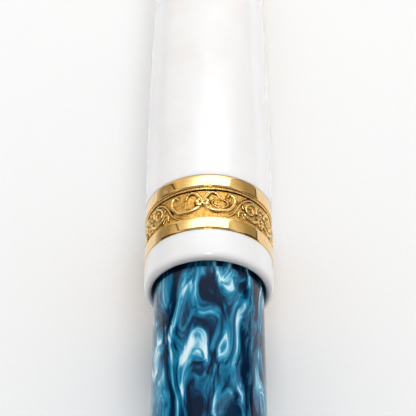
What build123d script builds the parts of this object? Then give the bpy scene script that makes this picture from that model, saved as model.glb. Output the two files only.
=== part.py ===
from build123d import *
import os
from math import cos, radians, sin

# A capped fountain pen, filled by a screw converter. The pen lies along Y: +Y points from the
# barrel's tail to the cap's top, +Z is up, and the origin is on the pen's axis in the plane of
# the cap's mouth. All lengths are in millimetres.
#
# Radii are worked out from the inside to the outside: the converter sets the section's collar,
# the collar the barrel's bush, the bush the barrel, and the barrel the cap and its band.
# Lengths run outwards from the cap's mouth: the nib sets the cap's length, and the converter
# sets the barrel's.

# ---- fits ------------------------------------------------------------------------------------
PRESS_GAP = 0.02  # radial gap of pieces that are pressed, glued or screwed together for good
RUNNING_GAP = 0.05  # radial gap of pieces that turn or slide in one another
SEAL_GAP = 0.03  # radial gap of the piston's seal in the converter's tube
PART_GAP = 0.10  # gap of pieces that the owner takes apart
SHOULDER_GAP = 0.60  # from the barrel's front shoulder to the step in the cap's mouth

# ---- converter -------------------------------------------------------------------------------
TUBE_BORE_R = 3.0
TUBE_WALL = 0.45
TUBE_LENGTH = 33.0
TUBE_NOSE_WALL = 1.5
TUBE_REACH = 3.0  # from the section's joint back to the tube's nose
FERRULE_WALL = 0.38
FERRULE_LENGTH = 9.0
REAR_COLLAR_LENGTH = 12.0
REAR_COLLAR_WALL = 4.0  # the part behind the tube, where the knob's neck turns
KNOB_LENGTH = 17.7
KNOB_NECK_R = 2.25
KNOB_RIM_GAP = 0.30
KNOB_FLANGE = 1.0
KNOB_FLUTES = 16
FLUTE_R = 0.35
FLUTE_START = 3.0  # plain length at each end of the knob
ROD_R = 1.1
SEAL_LENGTH = 2.8
PISTON_TRAVEL = 14.0
ROD_ROOM = 1.2  # left behind the rod's end when the piston is drawn back

# ---- nib, feed and their housing -------------------------------------------------------------
NIPPLE_R = 1.2
NIPPLE_REACH = 2.5  # how far the nipple stands inside the converter's tube
INK_HOLE_R = 0.5
HOUSING_WALL = 0.45
HOUSING_LENGTH = 12.9
NIB_SEAT = 6.4  # length of nib and feed inside the housing
NIB_EXPOSED = 21.6
NIB_SHEET = 0.35
NIB_TIP_DROP = 1.75  # how far the crown of the nib falls from the section to the tip
NIB_SHOULDER = 7.0  # from the section's front to the widest point of the nib
NIB_TINE_HALF = 0.30  # half the nib's width at the tip
SLIT_WIDTH = 0.12
BREATHER_R = 0.75
BREATHER_SHARE = 0.50  # place of the breather hole along the exposed nib
TIPPING_R = 0.42
FEED_SHORT = 3.6  # how far the feed stops short of the nib's tip
FIN_COUNT = 14
FIN_PITCH = 0.78
FIN_GAP = 0.36
FIN_START = 2.0  # from the section's front to the first gap
FIN_ROOT_Z = -0.7  # the feed's core is above this height

# ---- grip section ----------------------------------------------------------------------------
COLLAR_WALL = 0.95
COLLAR_THREAD = 10.9  # length of the collar that screws into the barrel's bush
COLLAR_SPIGOT = 5.1  # length of the collar inside the grip
SPIGOT_STEP = 0.30
SECTION_RING = 1.2
GRIP_LENGTH = 16.8
GRIP_TAPER = 0.30  # radius lost from the rear of the grip to the flare at its front
GRIP_WAIST = 0.35  # radius lost again from the flare to the waist behind it
GRIP_WALL = 0.35  # wall at the waist
FLARE_LENGTH = 2.2

# ---- barrel ----------------------------------------------------------------------------------
BUSH_WALL = 0.90
BUSH_SPIGOT = 10.0
BUSH_STEP = 0.35
THREAD_LENGTH = 8.0  # length of the bush that the cap screws on
THREAD_STEP = 0.65  # from the thread's root out to the barrel
THREAD_DEPTH = 0.30
BARREL_COVERED = 6.0  # length of barrel inside the cap's mouth
NECK_STEP = 0.25  # the covered length is this much smaller in radius
NECK_SHOW = 0.30  # the smaller length ends this far outside the mouth
NECK_BEVEL = 0.10  # length of the bevel up from it
BARREL_STRAIGHT = 20.0  # straight length, from the mouth
TAIL_ROOM = 12.5  # free length behind the converter
BARREL_FLOOR = 6.0
BARREL_TAPER = 1.10  # radius lost from the straight length to the tail
TAIL_RING = 1.4
TAIL_STEP = 0.15
TAIL_FINIAL = 7.6
STUD_R = 1.5
STUD_LENGTH = 3.5

# ---- cap -------------------------------------------------------------------------------------
MOUTH_GAP = 0.25
NOSE_WALL = 0.50
BAND_WALL = 0.50
LIP_LENGTH = 4.0
LIP_STEP = 0.08  # the lip is this much smaller in radius than the band
LIP_ROUND = 0.80
LIP_BASE = 1.5  # length of the lip in front of the cap's nose
RIM_WIDTH = 1.8
RIM_ROUND = 0.20
FRIEZE_WIDTH = 4.5
FRIEZE_DEPTH = 0.22
MOULDING_WIDTH = 0.4
MOULDING_OFFSET = 0.25  # centre of the moulding below the upper rim
MOULDING_RISE = 0.12
TUBE_PROUD = 0.04  # the cap tube stands this much proud of the band
CAP_TAPER = 1.10
CAP_BULGE = 0.34  # rise of the cap's outline over a straight taper
LINER_WALL = 0.50
LINER_ROOF = 1.1
NIB_HEADROOM = 4.0
CAP_ROOF = 2.0
SCREW_R = 2.0
SCREW_HEAD_R = 3.4
SCREW_HEAD = 1.25
SCREW_SHANK = 6.0
CLIP_RING = 1.8
CLIP_RING_PROUD = 0.20
FINIAL_HEIGHT = 7.7
FINIAL_STEP = 0.30

# ---- clip ------------------------------------------------------------------------------------
CLIP_ANGLE = 148.0  # from straight up, turning towards +X: the clip lies under the pen
CLIP_LENGTH = 40.0
CLIP_THICK = 0.9
CLIP_ROOT_WIDTH = 3.0
CLIP_WIDE_R = 1.75  # half the clip's width near its root
CLIP_TIP_R = 1.2  # half the clip's width at its tip
CLIP_AIR = 1.0  # gap from the clip's arm to the cap
CLIP_BEND_R = 1.6
KNUCKLE_R = 0.7
KNUCKLE_DEPTH = 0.85  # from the ring's edge to the pin's centre
PIN_R = 0.3
PIN_LENGTH = 5.4
NOTCH_GAP = 0.10  # each side of the clip's root in the ring
BALL_R = 1.0
BALL_GAP = 0.08

# ---- radii, from the inside out --------------------------------------------------------------
tube_r = TUBE_BORE_R + TUBE_WALL
ferrule_bore_r = tube_r + PRESS_GAP
ferrule_r = ferrule_bore_r + FERRULE_WALL
collar_bore_r = ferrule_r + PART_GAP
collar_r = collar_bore_r + COLLAR_WALL
spigot_r = collar_r - SPIGOT_STEP
bush_bore_r = collar_r + PART_GAP
thread_root_r = bush_bore_r + BUSH_WALL
bush_spigot_r = thread_root_r - BUSH_STEP
barrel_r = thread_root_r + THREAD_STEP
neck_r = barrel_r - NECK_STEP
barrel_tail_r = barrel_r - BARREL_TAPER
thread_bore_r = thread_root_r + THREAD_DEPTH + 1.5 * PART_GAP
mouth_r = barrel_r + MOUTH_GAP
nose_r = mouth_r + NOSE_WALL
band_bore_r = nose_r + PRESS_GAP
band_r = nose_r + BAND_WALL
lip_r = band_r - LIP_STEP
cap_r = band_r + TUBE_PROUD
cap_top_r = cap_r - CAP_TAPER
liner_r = thread_root_r - RUNNING_GAP
cap_bore_r = liner_r + PRESS_GAP
liner_bore_r = liner_r - LINER_WALL
section_ring_r = liner_r - PART_GAP
grip_rear_r = liner_bore_r - 1.5 * PART_GAP
flare_r = grip_rear_r - GRIP_TAPER
waist_r = flare_r - GRIP_WAIST
housing_bore_r = waist_r - GRIP_WALL
housing_r = housing_bore_r - PRESS_GAP
nib_r = housing_r - HOUSING_WALL - PRESS_GAP
feed_r = nib_r - NIB_SHEET - PRESS_GAP
clip_ring_r = cap_top_r + CLIP_RING_PROUD
finial_r = clip_ring_r - FINIAL_STEP
tail_ring_r = barrel_tail_r + TAIL_STEP / 2
tail_finial_r = tail_ring_r - TAIL_STEP

# ---- places along the pen, cap side ----------------------------------------------------------
nose_y = LIP_BASE
lip_top_y = LIP_LENGTH
frieze_y = lip_top_y + RIM_WIDTH
upper_rim_y = frieze_y + FRIEZE_WIDTH
band_top_y = upper_rim_y + RIM_WIDTH
shoulder_y = BARREL_COVERED
joint_y = shoulder_y + THREAD_LENGTH  # where the section meets the barrel's bush
ring_front_y = joint_y + SECTION_RING
section_front_y = ring_front_y + GRIP_LENGTH
nib_tip_y = section_front_y + NIB_EXPOSED
liner_front_y = ring_front_y + RUNNING_GAP
liner_roof_y = nib_tip_y + TIPPING_R + NIB_HEADROOM
liner_top_y = liner_roof_y + LINER_ROOF
cap_roof_y = liner_top_y + SCREW_HEAD + 3 * RUNNING_GAP
cap_tube_top_y = cap_roof_y + CAP_ROOF
clip_ring_top_y = cap_tube_top_y + CLIP_RING
cap_top_y = clip_ring_top_y + FINIAL_HEIGHT
screw_tip_y = cap_roof_y + SCREW_SHANK

# ---- places along the pen, barrel side -------------------------------------------------------
collar_rear_y = joint_y - PART_GAP - COLLAR_THREAD
collar_front_y = joint_y - PART_GAP + COLLAR_SPIGOT
housing_front_y = collar_front_y + HOUSING_LENGTH
tube_nose_y = joint_y - TUBE_REACH
tube_rear_y = tube_nose_y - TUBE_LENGTH
nipple_tip_y = tube_nose_y - TUBE_NOSE_WALL - NIPPLE_REACH
seal_front_y = nipple_tip_y - 2 * RUNNING_GAP
seal_rear_y = seal_front_y - SEAL_LENGTH
rear_collar_y = tube_rear_y - REAR_COLLAR_WALL
knob_front_y = rear_collar_y - KNOB_RIM_GAP
knob_rear_y = knob_front_y - KNOB_LENGTH
rod_rear_y = knob_rear_y + 2 * ROD_ROOM + PISTON_TRAVEL
rod_bore_y = rod_rear_y - PISTON_TRAVEL - ROD_ROOM
barrel_bore_y = knob_rear_y - TAIL_ROOM
barrel_tail_y = barrel_bore_y - BARREL_FLOOR
tail_ring_y = barrel_tail_y - TAIL_RING
barrel_end_y = tail_ring_y - TAIL_FINIAL
bush_rear_y = shoulder_y - BUSH_SPIGOT

# ---- planes ----------------------------------------------------------------------------------
# Half sections are drawn as (y, radius) and turned about the pen's axis.
TURNING = Plane(origin=(0, 0, 0), x_dir=(0, 1, 0), z_dir=(1, 0, 0))
# The same for the clip, with its own direction outwards in place of +Z.
clip_out = (sin(radians(CLIP_ANGLE)), 0, cos(radians(CLIP_ANGLE)))
clip_across = (cos(radians(CLIP_ANGLE)), 0, -sin(radians(CLIP_ANGLE)))
CLIP_SIDE = Plane(origin=(0, 0, 0), x_dir=(0, 1, 0), z_dir=clip_across)
CLIP_PLAN = Plane(origin=(0, 0, 0), x_dir=(0, 1, 0), z_dir=clip_out)

os.makedirs("parts", exist_ok=True)


def save(piece, name):
    """Label a finished piece and write it as its own file."""
    piece.part.label = name
    export_step(piece.part, f"parts/{name}.step")


def ring_section(y_start, y_end, r_in, r_out):
    """Draw the half section of a plain ring in the open sketch."""
    with Locations(((y_start + y_end) / 2, (r_in + r_out) / 2)):
        Rectangle(abs(y_end - y_start), r_out - r_in)


def cap_radius(y):
    """Outer radius of the cap tube at a place along the pen: a shallow bulged taper."""
    share = (y - band_top_y) / (cap_tube_top_y - band_top_y)
    return cap_r - CAP_TAPER * share + CAP_BULGE * (1 - (2 * share - 1) ** 2)


# ---- cap -------------------------------------------------------------------------------------
# The tube's nose is turned down for the band and the lip, which slide on from the mouth.
with BuildPart() as cap_tube:
    with BuildSketch(TURNING):
        with BuildLine():
            outline = SagittaArc((band_top_y, cap_r), (cap_tube_top_y, cap_top_r), CAP_BULGE)
            Polyline(
                outline @ 1,
                (cap_tube_top_y, SCREW_R + PRESS_GAP),
                (cap_roof_y, SCREW_R + PRESS_GAP),
                (cap_roof_y, cap_bore_r),
                (joint_y + 2 * PART_GAP, cap_bore_r),
                (joint_y + 2 * PART_GAP, thread_bore_r),
                (shoulder_y + SHOULDER_GAP, thread_bore_r),
                (shoulder_y + SHOULDER_GAP, mouth_r),
                (nose_y, mouth_r),
                (nose_y, nose_r),
                (band_top_y, nose_r),
                outline @ 0,
            )
        make_face()
    revolve(axis=Axis.Y)
save(cap_tube, "cap_tube")

# The lip closes the mouth and holds the band on; its front edge is rounded for the fingers.
with BuildPart() as cap_lip:
    with BuildSketch(TURNING) as lip_section:
        with BuildLine():
            Polyline(
                (0, mouth_r),
                (0, lip_r),
                (lip_top_y, lip_r),
                (lip_top_y, band_bore_r),
                (nose_y - PRESS_GAP, band_bore_r),
                (nose_y - PRESS_GAP, mouth_r),
                close=True,
            )
        make_face()
        front_outer = lip_section.vertices().group_by(Axis.X)[0].sort_by(Axis.Y)[-1]
        front_inner = lip_section.vertices().group_by(Axis.X)[0].sort_by(Axis.Y)[0]
        fillet(front_outer, min(LIP_ROUND, 0.8 * (lip_r - mouth_r)))
        fillet(front_inner, 0.15 * (lip_r - mouth_r))
    revolve(axis=Axis.Y)
save(cap_lip, "cap_lip")


def rim(y_start, name):
    """One polished rim of the band, with softened outer edges."""
    with BuildPart() as piece:
        with BuildSketch(TURNING) as section:
            ring_section(y_start, y_start + RIM_WIDTH, band_bore_r, band_r)
            outer = section.vertices().group_by(Axis.Y)[-1]
            fillet(outer, min(RIM_ROUND, 0.4 * BAND_WALL))
        revolve(axis=Axis.Y)
    save(piece, name)


rim(lip_top_y, "band_lower_rim")
rim(upper_rim_y, "band_upper_rim")

# Between the rims the band is recessed for its ornament, under one thin ridged moulding.
with BuildPart() as band_frieze:
    with BuildSketch(TURNING):
        frieze_r = band_r - FRIEZE_DEPTH
        moulding_y = upper_rim_y - MOULDING_OFFSET
        ring_section(frieze_y, upper_rim_y, band_bore_r, frieze_r)
        with BuildLine():
            Polyline(
                (moulding_y - MOULDING_WIDTH / 2, frieze_r - MOULDING_RISE),
                (moulding_y - MOULDING_WIDTH / 2, frieze_r + MOULDING_RISE / 2),
                (moulding_y, frieze_r + MOULDING_RISE),
                (moulding_y + MOULDING_WIDTH / 2, frieze_r + MOULDING_RISE / 2),
                (moulding_y + MOULDING_WIDTH / 2, frieze_r - MOULDING_RISE),
                close=True,
            )
        make_face()
    revolve(axis=Axis.Y)
save(band_frieze, "band_frieze")

# The liner seals on the section's ring, so that the nib doesn't dry out.
with BuildPart() as inner_cap:
    with BuildSketch(TURNING):
        with BuildLine():
            Polyline(
                (liner_front_y, liner_bore_r),
                (liner_front_y, liner_r),
                (liner_top_y, liner_r),
                (liner_top_y, 0),
                (liner_roof_y, 0),
                (liner_roof_y, liner_bore_r),
                close=True,
            )
        make_face()
    revolve(axis=Axis.Y)
save(inner_cap, "inner_cap")

# A screw from inside the cap's roof holds the clip ring and the finial.
with BuildPart() as finial_screw:
    with BuildSketch(TURNING):
        ring_section(cap_roof_y - SCREW_HEAD, cap_roof_y, 0, SCREW_HEAD_R)
        ring_section(cap_roof_y, screw_tip_y, 0, SCREW_R)
    revolve(axis=Axis.Y)
save(finial_screw, "finial_screw")

with BuildPart() as cap_finial:
    with BuildSketch(TURNING):
        with BuildLine():
            dome = EllipticalCenterArc(
                (clip_ring_top_y, 0), FINIAL_HEIGHT, finial_r, start_angle=0, arc_size=90
            )
            Polyline(
                dome @ 1,
                (clip_ring_top_y, SCREW_R + PRESS_GAP),
                (screw_tip_y + PART_GAP, SCREW_R + PRESS_GAP),
                (screw_tip_y + PART_GAP, 0),
                dome @ 0,
            )
        make_face()
    revolve(axis=Axis.Y)
save(cap_finial, "cap_finial")

# ---- clip and its ring -----------------------------------------------------------------------
knuckle_y = cap_tube_top_y + CLIP_RING / 2
knuckle_rho = clip_ring_r - KNUCKLE_DEPTH
clip_tip_y = knuckle_y - CLIP_LENGTH
arm_gap = CLIP_AIR + CLIP_THICK / 2  # from the cap's surface to the middle of the arm
arm_middle_y = (knuckle_y + clip_tip_y) / 2
notch_width = CLIP_ROOT_WIDTH + 2 * NOTCH_GAP

with BuildPart() as clip_ring:
    with BuildSketch(TURNING) as section:
        ring_section(cap_tube_top_y, clip_ring_top_y, SCREW_R + PRESS_GAP, clip_ring_r)
        outer = section.vertices().group_by(Axis.Y)[-1]
        fillet(outer, 0.2 * CLIP_RING)
    revolve(axis=Axis.Y)
    # The notch for the clip's root, and the holes for its pin.
    with BuildSketch(CLIP_SIDE):
        notch_floor = knuckle_rho - KNUCKLE_R - NOTCH_GAP
        ring_section(cap_tube_top_y, clip_ring_top_y, notch_floor, clip_ring_r + CLIP_RING)
    extrude(amount=notch_width / 2, both=True, mode=Mode.SUBTRACT)
    with BuildSketch(CLIP_SIDE):
        with Locations((knuckle_y, knuckle_rho)):
            Circle(PIN_R + PRESS_GAP)
    extrude(amount=PIN_LENGTH / 2, both=True, mode=Mode.SUBTRACT)
save(clip_ring, "clip_ring")

with BuildPart() as clip_pin:
    with BuildSketch(CLIP_SIDE):
        with Locations((knuckle_y, knuckle_rho)):
            Circle(PIN_R)
    extrude(amount=PIN_LENGTH / 2, both=True)
save(clip_pin, "clip_pin")

# The arm rises out of the ring's notch, bends over the cap and runs to a ball at its tip.
with BuildPart() as clip:
    with BuildSketch(CLIP_SIDE):
        with BuildLine():
            FilletPolyline(
                (knuckle_y, knuckle_rho),
                (knuckle_y, cap_radius(knuckle_y - CLIP_BEND_R) + 1.9 * arm_gap),
                (arm_middle_y, cap_radius(arm_middle_y) + 1.15 * arm_gap),
                (clip_tip_y, cap_radius(clip_tip_y) + 0.9 * arm_gap),
                radius=CLIP_BEND_R,
            )
        trace(line_width=CLIP_THICK)
    extrude(amount=CLIP_WIDE_R, both=True)
    # Seen from above, the arm narrows from its root to its tip.
    with BuildSketch(CLIP_PLAN):
        with Locations((knuckle_y - 2.5 * CLIP_WIDE_R, 0)):
            Circle(CLIP_WIDE_R)
        with Locations((clip_tip_y + CLIP_TIP_R / 2, 0)):
            Circle(CLIP_TIP_R)
        make_hull()
        with Locations((knuckle_y - CLIP_WIDE_R / 2, 0)):
            Rectangle(4 * CLIP_WIDE_R, CLIP_ROOT_WIDTH)
    extrude(amount=2 * cap_r, mode=Mode.INTERSECT)
    with BuildSketch(CLIP_SIDE):
        with Locations((knuckle_y, knuckle_rho)):
            Circle(KNUCKLE_R)
    extrude(amount=CLIP_ROOT_WIDTH / 2, both=True)
    with BuildSketch(CLIP_SIDE):
        with Locations((knuckle_y, knuckle_rho)):
            Circle(PIN_R + RUNNING_GAP)
    extrude(amount=CLIP_ROOT_WIDTH, both=True, mode=Mode.SUBTRACT)
    ball_y = clip_tip_y + BALL_R
    ball_rho = cap_radius(ball_y) + BALL_GAP + BALL_R
    with Locations(CLIP_SIDE.from_local_coords(Vector(ball_y, ball_rho, 0))):
        Sphere(BALL_R)
save(clip, "clip")

# ---- barrel ----------------------------------------------------------------------------------
with BuildPart() as barrel_tube:
    with BuildSketch(TURNING):
        with BuildLine():
            straight = Line(
                (-NECK_SHOW - NECK_BEVEL, barrel_r), (-BARREL_STRAIGHT, barrel_r)
            )
            taper = TangentArc(
                straight @ 1, (barrel_tail_y, barrel_tail_r), tangent=(-1, 0)
            )
            stud_floor_y = barrel_tail_y + STUD_LENGTH + PART_GAP
            Polyline(
                taper @ 1,
                (barrel_tail_y, STUD_R + PRESS_GAP),
                (stud_floor_y, STUD_R + PRESS_GAP),
                (stud_floor_y, 0),
                (barrel_bore_y, 0),
                (barrel_bore_y, bush_bore_r),
                (bush_rear_y - PRESS_GAP, bush_bore_r),
                (bush_rear_y - PRESS_GAP, bush_spigot_r + PRESS_GAP),
                (shoulder_y, bush_spigot_r + PRESS_GAP),
                (shoulder_y, neck_r),
                (-NECK_SHOW, neck_r),
                straight @ 0,
            )
        make_face()
    revolve(axis=Axis.Y)
save(barrel_tube, "barrel_tube")

# The bush carries the outer thread for the cap and the inner thread for the section.
with BuildPart() as barrel_bush:
    with BuildSketch(TURNING) as section:
        ring_section(bush_rear_y, shoulder_y, bush_bore_r, bush_spigot_r)
        ring_section(shoulder_y, joint_y, bush_bore_r, thread_root_r)
        front_edge = section.vertices().group_by(Axis.X)[-1].sort_by(Axis.Y)[-1]
        chamfer(front_edge, 0.3 * BUSH_WALL)
    revolve(axis=Axis.Y)
save(barrel_bush, "barrel_bush")

with BuildPart() as tail_ring:
    with BuildSketch(TURNING) as section:
        ring_section(tail_ring_y, barrel_tail_y, STUD_R + PRESS_GAP, tail_ring_r)
        outer = section.vertices().group_by(Axis.Y)[-1]
        chamfer(outer, 0.25 * TAIL_RING)
    revolve(axis=Axis.Y)
save(tail_ring, "tail_ring")

# The tail's finial has a stud that passes through the ring into the barrel's floor.
with BuildPart() as tail_finial:
    with BuildSketch(TURNING):
        with BuildLine():
            dome = EllipticalCenterArc(
                (tail_ring_y, 0), TAIL_FINIAL, tail_finial_r, start_angle=90, arc_size=90
            )
            Polyline(
                dome @ 1,
                (barrel_tail_y + STUD_LENGTH, 0),
                (barrel_tail_y + STUD_LENGTH, STUD_R),
                (tail_ring_y, STUD_R),
                dome @ 0,
            )
        make_face()
    revolve(axis=Axis.Y)
save(tail_finial, "tail_finial")

# ---- grip section ----------------------------------------------------------------------------
# The grip falls to a waist for the fingers and flares again at the nib.
with BuildPart() as grip_section:
    with BuildSketch(TURNING):
        with BuildLine():
            waist_y = section_front_y - FLARE_LENGTH
            flare_y = section_front_y - 0.3 * FLARE_LENGTH
            fall = Bezier(
                (ring_front_y, grip_rear_r),
                (ring_front_y + 0.5 * GRIP_LENGTH, grip_rear_r),
                (waist_y - 0.3 * GRIP_LENGTH, waist_r),
                (waist_y, waist_r),
            )
            rise = Bezier(
                (waist_y, waist_r),
                (waist_y + 0.4 * FLARE_LENGTH, waist_r),
                (flare_y - 0.3 * FLARE_LENGTH, flare_r),
                (flare_y, flare_r),
            )
            round_over = SagittaArc(rise @ 1, (section_front_y, waist_r), 0.06 * FLARE_LENGTH)
            Polyline(
                round_over @ 1,
                (section_front_y, housing_bore_r),
                (collar_front_y, housing_bore_r),
                (collar_front_y, spigot_r + PRESS_GAP),
                (ring_front_y, spigot_r + PRESS_GAP),
                fall @ 0,
            )
        make_face()
    revolve(axis=Axis.Y)
save(grip_section, "grip_section")

with BuildPart() as section_ring:
    with BuildSketch(TURNING) as section:
        ring_section(joint_y, ring_front_y, spigot_r + PRESS_GAP, section_ring_r)
        outer = section.vertices().group_by(Axis.Y)[-1]
        chamfer(outer, 0.15 * SECTION_RING)
    revolve(axis=Axis.Y)
save(section_ring, "section_ring")

with BuildPart() as thread_collar:
    with BuildSketch(TURNING):
        ring_section(collar_rear_y, joint_y - PART_GAP, collar_bore_r, collar_r)
        ring_section(joint_y - PART_GAP, collar_front_y, collar_bore_r, spigot_r)
    revolve(axis=Axis.Y)
save(thread_collar, "thread_collar")

# ---- nib unit --------------------------------------------------------------------------------
nib_rear_y = housing_front_y - NIB_SEAT
tine_end_y = nib_tip_y - TIPPING_R
tip_crown_r = nib_r - NIB_TIP_DROP


def crown_radius(y, base_r):
    """Radius of the nib's crown, or of a surface under it, at a place along the nib."""
    share = max(0, y - section_front_y) / (tine_end_y - section_front_y)
    return base_r - NIB_TIP_DROP * share


# The housing holds nib and feed, and its nipple opens the converter's nose.
with BuildPart() as nib_housing:
    with BuildSketch(TURNING):
        ring_section(nipple_tip_y, collar_front_y, INK_HOLE_R, NIPPLE_R)
        ring_section(collar_front_y, nib_rear_y, INK_HOLE_R, housing_r)
        ring_section(nib_rear_y, housing_front_y, nib_r + PRESS_GAP, housing_r)
    revolve(axis=Axis.Y)
save(nib_housing, "nib_housing")

# The nib is a sheet rolled on a cone, trimmed to its outline, pierced and slit.
with BuildPart() as nib:
    with BuildSketch(TURNING):
        with BuildLine():
            Polyline(
                (nib_rear_y, nib_r),
                (section_front_y, nib_r),
                (tine_end_y, tip_crown_r),
                (tine_end_y, tip_crown_r - NIB_SHEET),
                (section_front_y, nib_r - NIB_SHEET),
                (nib_rear_y, nib_r - NIB_SHEET),
                close=True,
            )
        make_face()
    revolve(axis=Axis.Y)
    with BuildSketch(Plane.XY):
        with BuildLine():
            shoulder = (nib_r, section_front_y + NIB_SHOULDER)
            Line((0, nib_rear_y), (nib_r, nib_rear_y))
            Line((nib_r, nib_rear_y), shoulder)
            Bezier(
                shoulder,
                (0.80 * nib_r, section_front_y + 1.3 * NIB_SHOULDER),
                (2.2 * NIB_TINE_HALF, section_front_y + 0.60 * NIB_EXPOSED),
                (NIB_TINE_HALF, tine_end_y),
            )
            Line((NIB_TINE_HALF, tine_end_y), (0, tine_end_y))
            mirror(about=Plane.YZ)
        make_face()
    extrude(amount=2 * nib_r, mode=Mode.INTERSECT)
    breather_y = section_front_y + BREATHER_SHARE * NIB_EXPOSED
    with BuildSketch(Plane.XY):
        with Locations((0, breather_y)):
            Circle(BREATHER_R)
        with Locations((0, (breather_y + nib_tip_y) / 2)):
            Rectangle(SLIT_WIDTH, nib_tip_y - breather_y)
    extrude(amount=2 * nib_r, mode=Mode.SUBTRACT)
save(nib, "nib")

# The hard pellet is welded to the ends of the tines and slit like them.
with BuildPart() as nib_tipping:
    with Locations((0, tine_end_y, tip_crown_r - NIB_SHEET / 2)):
        Sphere(TIPPING_R)
    split(bisect_by=Plane.XZ.offset(-tine_end_y), keep=Keep.BOTTOM)
save(nib_tipping, "nib_tipping")

# The feed fills the nib's hollow, with a comb of fins below and a beak towards the tip.
with BuildPart() as feed:
    feed_tip_y = nib_tip_y - FEED_SHORT
    with BuildSketch(TURNING):
        with BuildLine():
            Polyline(
                (nib_rear_y, 0),
                (nib_rear_y, feed_r),
                (section_front_y, feed_r),
                (feed_tip_y, crown_radius(feed_tip_y, feed_r)),
                (feed_tip_y, 0),
                close=True,
            )
        make_face()
    revolve(axis=Axis.Y)
    # Seen from the side, the underside sweeps up to the beak.
    with BuildSketch(TURNING):
        with BuildLine():
            fins_end_y = section_front_y + FIN_START + FIN_COUNT * FIN_PITCH
            beak = (feed_tip_y, 0.55 * crown_radius(feed_tip_y, feed_r))
            keel = (fins_end_y, -crown_radius(fins_end_y, feed_r))
            Polyline(
                beak,
                (feed_tip_y, feed_r),
                (nib_rear_y, feed_r),
                (nib_rear_y, -feed_r),
                (section_front_y, -feed_r),
                keel,
            )
            Bezier(
                keel,
                (fins_end_y + 0.25 * (feed_tip_y - fins_end_y), 0.6 * keel[1]),
                (fins_end_y + 0.55 * (feed_tip_y - fins_end_y), 0),
                beak,
            )
        make_face()
    extrude(amount=2 * feed_r, both=True, mode=Mode.INTERSECT)
    with BuildSketch(TURNING):
        for fin in range(FIN_COUNT):
            gap_y = section_front_y + FIN_START + fin * FIN_PITCH
            with Locations((gap_y, FIN_ROOT_Z - feed_r)):
                Rectangle(FIN_GAP, 2 * feed_r)
    extrude(amount=2 * feed_r, both=True, mode=Mode.SUBTRACT)
save(feed, "feed")

# ---- converter -------------------------------------------------------------------------------
with BuildPart() as converter_tube:
    with BuildSketch(TURNING):
        nose_inner_y = tube_nose_y - TUBE_NOSE_WALL
        ring_section(tube_rear_y, nose_inner_y, TUBE_BORE_R, tube_r)
        ring_section(nose_inner_y, tube_nose_y, NIPPLE_R + RUNNING_GAP, tube_r)
    revolve(axis=Axis.Y)
save(converter_tube, "converter_tube")

with BuildPart() as converter_ferrule:
    with BuildSketch(TURNING):
        ring_section(tube_nose_y - FERRULE_LENGTH, tube_nose_y, ferrule_bore_r, ferrule_r)
    revolve(axis=Axis.Y)
save(converter_ferrule, "converter_ferrule")

with BuildPart() as converter_collar:
    with BuildSketch(TURNING):
        collar_end_y = rear_collar_y + REAR_COLLAR_LENGTH
        ring_section(tube_rear_y, collar_end_y, ferrule_bore_r, ferrule_r)
        ring_section(rear_collar_y, tube_rear_y, KNOB_NECK_R + RUNNING_GAP, ferrule_r)
    revolve(axis=Axis.Y)
save(converter_collar, "converter_collar")

# The knob's neck runs through the collar to a flange inside the tube, which keeps it in.
with BuildPart() as converter_knob:
    with BuildSketch(TURNING) as section:
        knob_r = ferrule_r - PART_GAP
        flange_y = tube_rear_y + RUNNING_GAP
        ring_section(rod_bore_y, knob_front_y, ROD_R + RUNNING_GAP, knob_r)
        ring_section(knob_rear_y, rod_bore_y, 0, knob_r)
        ring_section(knob_front_y, flange_y, ROD_R + RUNNING_GAP, KNOB_NECK_R)
        flange_front_y = flange_y + KNOB_FLANGE
        ring_section(flange_y, flange_front_y, ROD_R + RUNNING_GAP, TUBE_BORE_R - PART_GAP)
        rear_edge = section.vertices().group_by(Axis.X)[0].sort_by(Axis.Y)[-1]
        chamfer(rear_edge, 0.2 * knob_r)
    revolve(axis=Axis.Y)
    with BuildSketch(Plane.XZ.offset(-knob_front_y + FLUTE_START)):
        with PolarLocations(knob_r, KNOB_FLUTES):
            Circle(FLUTE_R)
    extrude(amount=KNOB_LENGTH - 2 * FLUTE_START, mode=Mode.SUBTRACT)
save(converter_knob, "converter_knob")

with BuildPart() as piston_seal:
    with BuildSketch(TURNING):
        ring_section(seal_rear_y, seal_front_y, 0, TUBE_BORE_R - SEAL_GAP)
    revolve(axis=Axis.Y)
    lips = piston_seal.edges().filter_by(GeomType.CIRCLE)
    chamfer(lips, 0.15 * SEAL_LENGTH)
save(piston_seal, "piston_seal")

with BuildPart() as piston_rod:
    with BuildSketch(TURNING):
        ring_section(rod_rear_y, seal_rear_y, 0, ROD_R)
    revolve(axis=Axis.Y)
save(piston_rod, "piston_rod")

print(f"capped length {cap_top_y - barrel_end_y:.2f}, band {2 * band_r:.2f}, barrel {2 * barrel_r:.2f}")
print(f"cap {cap_top_y:.2f}, nib tip {nib_tip_y:.2f}, converter rear {knob_rear_y:.2f}")
print(f"clip pin at y {knuckle_y:.3f}, radius {knuckle_rho:.3f}; barrel end {barrel_end_y:.2f}")
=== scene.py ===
from math import cos, pi, radians, sin

import bmesh
import bpy
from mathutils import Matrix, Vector, kdtree, noise


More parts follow.
